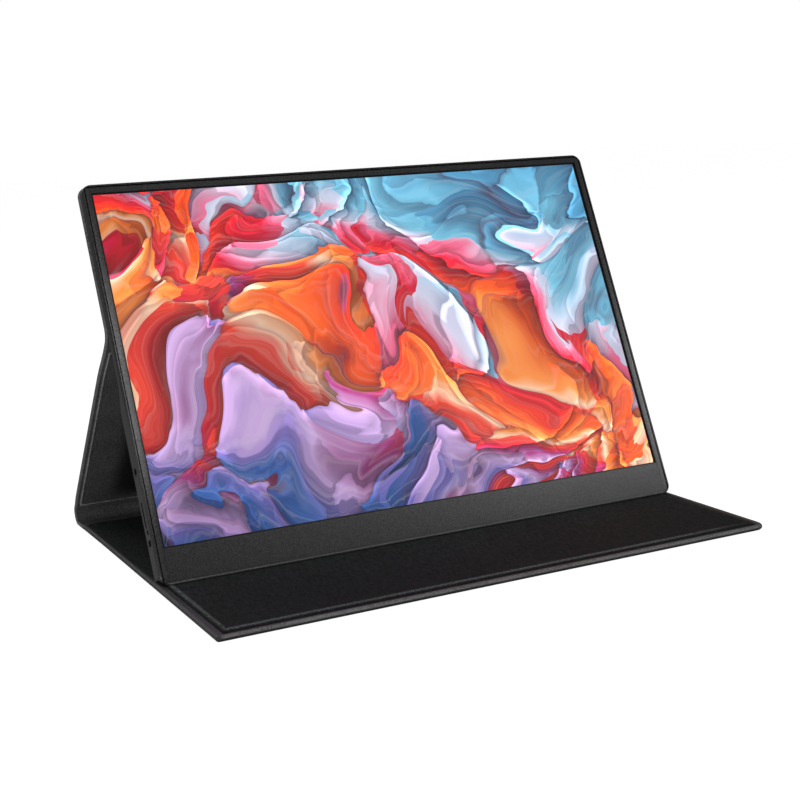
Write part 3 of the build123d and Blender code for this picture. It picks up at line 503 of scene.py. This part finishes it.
def path(s):
    """Point on the outer face at s, and the direction into the cover, both in (y, z) mm."""
    if s <= S_FLAT:
        return np.array([BASE_FRONT + s, 0.0]), np.array([0.0, 1.0])
    if s <= S_ROLL:
        a = -math.pi / 2 + (s - S_FLAT) / SPINE_R
        d = np.array([math.cos(a), math.sin(a)])
        return np.array([ROLL_Y, SPINE_R]) + SPINE_R * d, -d
    if s <= S_LEG:
        return FOLD + (S_TAN - (s - S_ROLL)) * DOWN, -OUT
    if s <= S_BEND:
        c = FOLD + T_C * DOWN + FOLD_R * OUT
        a0 = math.atan2(-OUT[1], -OUT[0])
        a = a0 - (s - S_LEG) / FOLD_R
        d = np.array([math.cos(a), math.sin(a)])
        return c + FOLD_R * d, d
    return FOLD + (s - S_BEND + T_C) * UP, -BACK


def smooth(x, a, b):
    t = np.clip((x - a) / (b - a), 0, 1)
    return t * t * (3 - 2 * t)


def full(s):
    """Depth of the cover's inner face under its outer line."""
    base = 3.0 + (1.9 - 3.0) * smooth(s, S_BASE_END - 1.0, S_BASE_END + 3.0)
    leg = 1.9 + (3.0 - 1.9) * smooth(s, S_LEG_END - 3.5, S_LEG_END + 0.8)
    return np.where(s < (S_BASE_END + S_LEG_END) / 2, base, leg)


def dip(s):
    """How far the outer face is pressed in beside the boards' edges, at the fold lines."""
    fold = (S_LEG + S_BEND) / 2
    crease = 1.0 * np.exp(-(((s - fold) / 3.4) ** 4))
    lines = sum(0.28 * np.exp(-(((s - x) / 1.1) ** 2)) for x in (S_BASE_END + 2.0, S_LEG_END - 2.0, S_LEG - 4.5, S_BEND + 4.5))
    return crease + lines


def corner(dx, ds, r):
    """Bends the square corner of the plan into rings of a corner of radius r."""
    if dx >= r or ds >= r or r <= 0:
        return dx, ds
    lo, hi = min(dx, ds), max(dx, ds)
    a = math.pi / 4 * (r - hi) / max(r - lo, 1e-9)
    ro = r - lo
    near, far = r - ro * math.cos(a), r - ro * math.sin(a)
    return (near, far) if dx <= ds else (far, near)


def skew(x, s):
    """The base's front edge lies a little forward, most at its left corner, and the leg's left edge a little out."""
    near = max(0.0, 1 - s / (0.8 * S_BASE_END))
    left = (HW - x) / (2 * HW)
    leg = left ** 3 * float(smooth(s, S_ROLL - 8.0, S_ROLL + 15.0) * (1 - smooth(s, S_LEG - 30.0, S_LEG - 4.0)))
    return -1.3 * left * near - 0.85 * leg, -(2.7 * left + 1.3 * (1 - left)) * near


def plate(name, xs, ss, top, bottom, radii=(0, 0, 0, 0), inset=0.0, tone=None, under=None):
    """A closed plate. xs are distances from the left edge, and ss are places along the strip.
    top, bottom, tone and under take (dx, df, db, x, s), distances from the edges and the place; the first two give
    depths under the outer line,
    the others the tones of the two faces: their painted light and shade.
    radii are the corners' (front left, front right, back left, back right)."""
    width = 2 * (HW - inset)
    nx, ns = len(xs), len(ss)
    grid = np.zeros((2, ns, nx, 3))
    shade = np.zeros((2, ns, nx))
    for j, s in enumerate(ss):
        for i, x in enumerate(xs):
            dl, dr, df, db = x, width - x, s - ss[0], ss[-1] - s
            px, ps = x, s
            left = dl < dr
            dx = min(dl, dr)
            if radii[0 if left else 1] and df < radii[0 if left else 1]:
                a, b = corner(dx, df, radii[0 if left else 1])
                px, ps = (a if left else width - a), ss[0] + b
            elif radii[2 if left else 3] and db < radii[2 if left else 3]:
                a, b = corner(dx, db, radii[2 if left else 3])
                px, ps = (a if left else width - a), ss[-1] - b
            point, into = path(ps)
            out, ahead = skew(px + inset - HW, ps)
            if tone:
                shade[1, j, i] = tone(dx, df, db, px + inset - HW, ps)
            if under and dx > 0 and df > 0:
                shade[0, j, i] = under(dx, df, db, px + inset - HW, ps)
            for k, f in ((0, bottom), (1, top)):
                n = f(dx, df, db, px + inset - HW, ps)
                q = point + n * into
                grid[k, j, i] = (px + inset - HW + out, q[0] + ahead, q[1])
    verts = grid.reshape(-1, 3)
    index = np.arange(2 * ns * nx).reshape(2, ns, nx)
    faces = []
    for j in range(ns - 1):
        for i in range(nx - 1):
            a, b, c, d = index[1, j, i], index[1, j, i + 1], index[1, j + 1, i + 1], index[1, j + 1, i]
            faces.append((a, b, c, d))
            a, b, c, d = index[0, j, i], index[0, j, i + 1], index[0, j + 1, i + 1], index[0, j + 1, i]
            faces.append((a, d, c, b))
    for j in range(ns - 1):
        faces.append((index[0, j, 0], index[1, j, 0], index[1, j + 1, 0], index[0, j + 1, 0]))
        faces.append((index[0, j, -1], index[0, j + 1, -1], index[1, j + 1, -1], index[1, j, -1]))
    for i in range(nx - 1):
        faces.append((index[0, 0, i], index[0, 0, i + 1], index[1, 0, i + 1], index[1, 0, i]))
        faces.append((index[0, -1, i], index[1, -1, i], index[1, -1, i + 1], index[0, -1, i + 1]))
    me = bpy.data.meshes.new(name)
    me.from_pydata((verts * MM).tolist(), [], faces)
    # tone carries the painted light and shade of each point
    me.attributes.new("tone", "FLOAT", "POINT").data.foreach_set("value", shade.reshape(-1).astype(np.float32))
    me.update()
    import bmesh
    bm = bmesh.new()
    bm.from_mesh(me)
    bmesh.ops.remove_doubles(bm, verts=bm.verts, dist=2e-6)
    bmesh.ops.recalc_face_normals(bm, faces=bm.faces)
    bm.to_mesh(me)
    bm.free()
    for p in me.polygons:
        p.use_smooth = True
    me.set_sharp_from_angle(angle=math.radians(50))
    keep = me.attributes.new("rest", "FLOAT_VECTOR", "POINT")
    co = np.zeros(len(me.vertices) * 3, np.float32)
    me.vertices.foreach_get("co", co)
    keep.data.foreach_set("vector", co)
    o = bpy.data.objects.new(name, me)
    bpy.context.scene.collection.objects.link(o)
    return o


def spread(knots, gap, fine=()):
    """Sorted places: the knots, and between them steps of at most gap."""
    out = sorted(set(round(k, 4) for k in knots))
    full_list = []
    for a, b in zip(out, out[1:]):
        g = gap
        for lo, hi, step in fine:
            if a >= lo - 1e-6 and b <= hi + 1e-6:
                g = step
        n = max(1, int(math.ceil((b - a) / g - 1e-9)))
        full_list += [a + (b - a) * k / n for k in range(n)]
    return full_list + [out[-1]]


EDGE = [0.0, 0.04, 0.14, 0.3, 0.52, 0.8, 1.15, 1.6]


def rounding(d, r, power=2.0):
    """0 on the edge, 1 from r inwards, as a quarter round."""
    d = min(max(d, 0.0), r)
    return (1 - (1 - d / r) ** power) ** (1 / power)


def bell(d, centre, width):
    return math.exp(-(((d - centre) / width) ** 2))


# rim widths on the inner side: wide on the base, narrow on the leg
def rim_at(s):
    return 3.3 + (1.9 - 3.3) * float(smooth(s, S_BASE_END + 1.0, S_BASE_END + 6.0))


def behind(s):
    """1 on the part of the base behind the monitor, where its face is plain."""
    return float(smooth(s, A_FRONT - 2.0, A_FRONT + 22.0) * (1 - smooth(s, S_BASE_END - 2.0, S_BASE_END + 6.0)))


def beside(dx, s):
    """Distance from a side edge, drawn in on the base, where the side rims are the wider ones."""
    return dx * (1.0 - 0.29 * float(1 - smooth(s, A_FRONT + 15.0, A_FRONT + 60.0)))


def leather_top(has_front, has_back):
    def f(dx, df, db, x, s):
        d = min([beside(dx, s)] + ([df] if has_front else []) + ([db] if has_back else []))
        t = float(full(s)) if s < S_LEG - 6 else 3.0 - 0.1 * float(smooth(s, S_LEG - 6, S_BEND))
        rim = rim_at(s)
        h = 0.5 * t + 0.5 * t * rounding(d, 1.55, 2.0)
        h += 0.12 * bell(d, rim * 0.6, rim * 0.28)
        h -= 0.95 * float(smooth(d, rim - 0.15, rim + 0.3))
        return h
    return f


# painted light and shade on the outer leather's inner face
def leather_painted_light(has_front, has_back):
    def f(dx, df, db, x, s):
        d = min([beside(dx, s)] + ([df] if has_front else []) + ([db] if has_back else []))
        rim = rim_at(s)
        # painted highlight on the rim, and painted light over the spine and leg
        level = 0.25 * bell(d, rim - 0.55, 0.32) + 0.95 * float(smooth(s, S_BASE_END - 8.0, S_BASE_END + 12.0))
        # painted highlight on the front edge's rolled shoulder
        if has_front:
            level += (0.4 + 0.6 * float(smooth(df, 0.0, 0.14))) * float(1 - smooth(df, 0.8, 2.4)) * float(smooth(dx, 0.5, 5.0))
        # painted shade in the groove inside the rim, faint behind the monitor and on the leg
        groove = 0.6 * (1 - 0.9 * behind(s)) * (1 - 0.9 * float(smooth(s, S_ROLL - 6.0, S_ROLL + 8.0)))
        return min(level, 1.0) * float(1 - smooth(d, rim - 0.25, rim - 0.1)) - groove * float(smooth(d, rim - 0.1, rim + 0.2))
    return f


# painted shade on the underside just behind the base's front edge
def leather_under_painted_shade(dx, df, db, x, s):
    return -float(1 - smooth(df, 0.5, 1.6))


def leather_bottom(has_front, has_back):
    def f(dx, df, db, x, s):
        d = min([dx] + ([df] if has_front else []) + ([db] if has_back else []))
        t = float(full(s))
        h = 0.5 * t * (1 - rounding(d, 1.25, 2.0))
        h += float(dip(s)) * float(smooth(d, 0.0, 2.5))
        h += 0.22 * bell(d, 3.4, 0.55) if s > 2 else 0.0
        return h
    return f


WIDTH = 2 * HW
xk = EDGE + [1.9, 2.25, 2.7, 3.0, 3.3, 3.48, 3.65, 4.0, 4.4, 4.6, 4.85, 5.1, 6.0, 9.0]
xs_full = spread(xk + [WIDTH / 2] + [WIDTH - k for k in xk], 11.0)
sk_front = [k for k in xk]
low_knots = sk_front + [14.0, A_FRONT, A_FRONT + 8.0, A_FRONT + 16.0, A_FRONT + 24.0, S_BASE_END - 1.5] + list(np.arange(S_BASE_END - 1.0, S_BASE_END + 5.0, 0.5)) + [S_FLAT] + \
    list(np.linspace(S_FLAT, S_ROLL, 25)) + [S_LEG_END - 6.0] + list(np.arange(S_LEG_END - 4.0, S_LEG_END + 1.5, 0.5)) + [S_CUT]
ss_low = spread(low_knots, 7.0)
high_knots = [S_CUT, S_LEG - 8.0] + list(np.arange(S_LEG - 7.0, S_BEND + 7.5, 0.5)) + [S_END - k for k in xk] + [S_END - 14.0]
ss_high = spread(high_knots, 7.0)

outer_low = plate("cover_outer_lower", xs_full, ss_low, leather_top(True, False), leather_bottom(True, False), radii=(2.0, 8.0, 0, 0), tone=leather_painted_light(True, False), under=leather_under_painted_shade)
outer_high = plate("cover_outer_upper", xs_full, ss_high, leather_top(False, True), leather_bottom(False, True), radii=(0, 0, 7.0, 7.0), tone=leather_painted_light(False, True))

# ---------------------------------------------------------------- inlay of the base: microfibre with a pressed ridge round it
INLAY, CREST = 3.35, 7.2


def inward(dx, df):
    """Distance from the edges on the scale of the side ridge; the front one lies further in and is broader."""
    return min(dx - 0.6, 0.75 * (df - (CREST - INLAY) - 1.6) + CREST - INLAY)


def inlay_top(dx, df, db, x, s):
    d = inward(dx, df)
    plain = behind(s)
    near = float(smooth(min(d, 4.0 * db + 0.4), 0.5, 2.6)) * (1 - plain) + plain * rounding(min(dx, df, db + 0.2), 0.5, 2.0)
    h = 2.0 + 0.22 * rounding(min(dx, df, db + 0.2), 0.4, 2.0) + 0.88 * near
    h += 0.32 * bell(d, CREST - INLAY, 1.1) * (1 - plain)
    h += 0.05 * math.sin(x * 0.021 + 0.6) * math.sin(s * 0.033) * float(smooth(d, 5, 25))
    return h


# painted light and shade on the inlay: a painted highlight on the ridge crest, painted shade in the channel by the
# edge, and painted light rising from the front edge to the monitor's front and level behind it
def inlay_painted_light(dx, df, db, x, s):
    d = inward(dx, df)
    # lit: the crest's painted highlight, weaker to the right and along the sides
    lit = 1.0 - 0.75 * float(smooth(x, 120.0, 168.0))
    lit *= 1.0 if df < dx else 0.64
    plain = behind(s)
    return (lit * bell(d, CREST - INLAY, 1.25) - float(1 - smooth(d, 0.8, 2.3))) * (1 - plain) + 0.21 * float(smooth(s, A_FRONT - 90.0, A_FRONT + 2.0))


def inlay_bottom(dx, df, db, x, s):
    return 1.8


ix = [0.0, 0.06, 0.18, 0.34, 0.52, 0.8, 1.3, 2.0] + list(np.arange(2.4, 7.6, 0.35)) + [8.5, 11.0]
inlay_w = 2 * (HW - INLAY)
xs_in = spread(ix + [inlay_w / 2] + [inlay_w - k for k in ix], 9.0)
ss_in = spread([INLAY + k for k in ix] + [S_BASE_END + 1.2 - k for k in (0.0, 0.06, 0.18, 0.34, 0.52, 1.0)] + [A_FRONT - 2.0 + 4.0 * k for k in range(7)], 9.0)
inlay = plate("base_inlay", xs_in, ss_in, inlay_top, inlay_bottom, radii=(0.4, 8.0 - INLAY, 0, 0), inset=INLAY, tone=inlay_painted_light)

# ---------------------------------------------------------------- inner leather of the spine, the leg and the upper panel
IN_X = 1.75


def inner_top(dx, df, db, x, s):
    t = float(full(s)) if s < S_LEG - 6 else 3.0 - 0.1 * float(smooth(s, S_LEG - 6, S_BEND))
    edge = rounding(min(dx, df + 0.15 if s < S_CUT - 1 else 9, db + 0.15 if s > S_CUT + 1 else 9), 0.45, 2.0)
    h = t - 0.46 + 0.40 * edge
    top_line, low_line = S_LEG - 6.5, S_LEG_END + 1.4
    side = bell(dx, 3.55 - IN_X, 0.62) * float(smooth(s, low_line - 0.5, low_line + 0.6)) * float(1 - smooth(s, top_line - 0.6, top_line + 0.5))
    across = bell(s, low_line, 0.62) * float(smooth(dx, 3.0 - IN_X, 3.7 - IN_X))
    across2 = 0.55 * bell(s, low_line - 3.1, 0.5) * float(smooth(dx, 3.0 - IN_X, 3.7 - IN_X))
    upper = bell(s, top_line, 0.62) * float(smooth(dx, 3.0 - IN_X, 3.7 - IN_X))
    h += 0.40 * max(side, across, across2, upper)
    return h


# painted light and shade on the inner leather: painted highlights on the pressed ridge lines, painted shadow of the
# casing on the leg beside it, painted shade along the outer edge
def inner_painted_light(dx, df, db, x, s):
    top_line, low_line = S_LEG - 6.5, S_LEG_END + 1.4
    side = bell(dx, 3.55 - IN_X, 0.55) * float(smooth(s, low_line - 0.5, low_line + 0.6)) * float(1 - smooth(s, top_line - 0.6, top_line + 0.5))
    across = max(bell(s, low_line, 0.55), 0.7 * bell(s, low_line - 3.1, 0.5), bell(s, top_line, 0.55)) * float(smooth(dx, 3.0 - IN_X, 3.7 - IN_X))
    # shade: painted shadow of the casing, growing away from the leg's side edge
    shade = float(smooth(dx, 12.0, 34.0)) * float(smooth(s, S_ROLL, S_ROLL + 20.0))
    return max(side, across) - max(0.3 * float(1 - smooth(dx, 0.25, 0.8)), shade)


def inner_bottom(dx, df, db, x, s):
    t = float(full(s)) if s < S_LEG - 6 else 3.0 - 0.1 * float(smooth(s, S_LEG - 6, S_BEND))
    return t - 0.85


nx_k = [0.0, 0.05, 0.15, 0.3, 0.48] + list(np.arange(0.7, 3.2, 0.25)) + [4.0, 6.0]
inner_w = 2 * (HW - IN_X)
xs_n = spread(nx_k + [inner_w / 2] + [inner_w - k for k in nx_k], 11.0)
s0 = S_BASE_END + 1.4
low_n = [s0, s0 + 0.06, s0 + 0.18, s0 + 0.34, s0 + 0.6] + list(np.linspace(S_FLAT, S_ROLL, 25)) + list(np.arange(S_LEG_END - 4.0, S_LEG_END + 4.0, 0.25)) + [S_CUT]
high_n = [S_CUT] + list(np.arange(S_LEG - 10.0, S_BEND + 7.5, 0.4)) + [S_END - 2.2 - k for k in (0.0, 0.06, 0.18, 0.34, 0.6, 1.2)]
inner_low = plate("cover_inner_lower", xs_n, spread(low_n, 7.0), inner_top, inner_bottom, inset=IN_X, tone=inner_painted_light)
inner_high = plate("cover_inner_upper", xs_n, spread(high_n, 7.0), inner_top, inner_bottom, radii=(0, 0, 5.2, 5.2), inset=IN_X, tone=inner_painted_light)

for o, mat in ((outer_low, MAT_LEATHER), (outer_high, MAT_LEATHER), (inlay, MAT_NAP), (inner_low, MAT_INNER), (inner_high, MAT_INNER)):
    o.data.materials.append(mat)

half_roll = (math.pi / 2 + LEG_ANGLE) / 2
rise = np.array([math.cos(half_roll), math.sin(half_roll)])
roll = np.array([ROLL_Y, SPINE_R])
sp0, sp1 = roll - 6.25 * rise, roll + 6.39 * rise
up2 = np.array([-0.126, 0.992])
cr0, cr1 = FOLD - 6.0 * up2, FOLD + 6.0 * up2


def at(p):
    return (0.0, float(p[0]) * MM, float(p[1]) * MM)


for o in (outer_low, inner_low):
    at(sp0)
    at(sp1)
    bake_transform(o)
for o in (outer_high, inner_high):
    at(cr0)
    at(cr1)
    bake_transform(o)
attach(inlay, "base")
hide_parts("base_leather", "spine_leather", "leg_leather")
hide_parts("upper_leather", "crease_leather")
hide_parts("base_lining")
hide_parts("spine_lining", "leg_lining")
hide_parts("crease_lining", "upper_lining")

# ---------------------------------------------------------------- floor, world and lights
floor_me = bpy.data.meshes.new("floor")
floor_me.from_pydata([(-6, -6, 0), (6, -6, 0), (6, 8, 0), (-6, 8, 0)], [], [(0, 1, 2, 3)])
floor = bpy.data.objects.new("floor", floor_me)
bpy.context.scene.collection.objects.link(floor)
ft = Tree("floor_pale")
ft.bsdf.inputs["Base Color"].default_value = (0.30, 0.30, 0.30, 1)
ft.bsdf.inputs["Roughness"].default_value = 0.9
ft.bsdf.inputs["Specular IOR Level"].default_value = 0.0
seen = ft.node("ShaderNodeLightPath").outputs["Is Camera Ray"]
ft.bsdf.inputs["Emission Color"].default_value = (1.0, 1.0, 1.0, 1)
ft.put(ft.bsdf.inputs["Emission Strength"], ft.math("MULTIPLY_ADD", seen, 0.80, 0.12))
floor_me.materials.append(ft.mat)

world = bpy.data.worlds.new("studio")
bpy.context.scene.world = world
world.use_nodes = True
sky = world.node_tree.nodes["Background"]
sky.inputs["Color"].default_value = (1.0, 1.0, 1.0, 1)
path_node = world.node_tree.nodes.new("ShaderNodeLightPath")
level = world.node_tree.nodes.new("ShaderNodeMapRange")
level.inputs["To Min"].default_value, level.inputs["To Max"].default_value = 0.25, 1.0
world.node_tree.links.new(path_node.outputs["Is Camera Ray"], level.inputs["Value"])
world.node_tree.links.new(level.outputs["Result"], sky.inputs["Strength"])


def area(name, place, target, size, power, along=(1, 0, 0)):
    """A softbox at place that faces target, with its long side along the given direction."""
    d = bpy.data.lights.new(name, "AREA")
    d.shape, d.size, d.size_y, d.energy = "RECTANGLE", size[0], size[1], power
    o = bpy.data.objects.new(name, d)
    bpy.context.scene.collection.objects.link(o)
    z = (Vector(place) - Vector(target)).normalized()
    y = z.cross(Vector(along)).normalized()
    turn = Matrix((y.cross(z), y, z)).transposed().to_4x4()
    o.matrix_world = Matrix.Translation(place) @ turn
    return o


area("strip_softbox", (0.775, -1.20, 1.01), (0.0, 0.0, 0.10), (1.2, 0.20), 5.5, along=(1.15, 0.0, -0.36))
area("low_softbox", (1.45, -1.15, 0.66), (0.05, 0.0, 0.06), (0.6, 0.35), 0.4)
area("front_softbox", (0.5, -1.5, 0.12), (0.0, -0.1, 0.0), (1.4, 0.22), 2.4)
area("left_low_softbox", (-0.65, -0.30, 0.05), (-0.17, 0.0, 0.04), (0.3, 0.06), 0.5)
area("left_softbox", (-1.3, -1.0, 0.30), (0.0, 0.0, 0.06), (0.8, 0.5), 2.5)
area("rear_softbox", (-0.35, 1.5, 0.85), (0.0, 0.0, 0.05), (1.4, 0.6), 4.0)
area("top_softbox", (-0.3, 0.3, 2.0), (0.0, 0.0, 0.0), (1.4, 1.0), 6.0)

scene = bpy.context.scene
scene.view_settings.view_transform = "Standard"
scene.view_settings.look = "None"
scene.view_settings.exposure = 0.0
scene.view_settings.gamma = 1.0
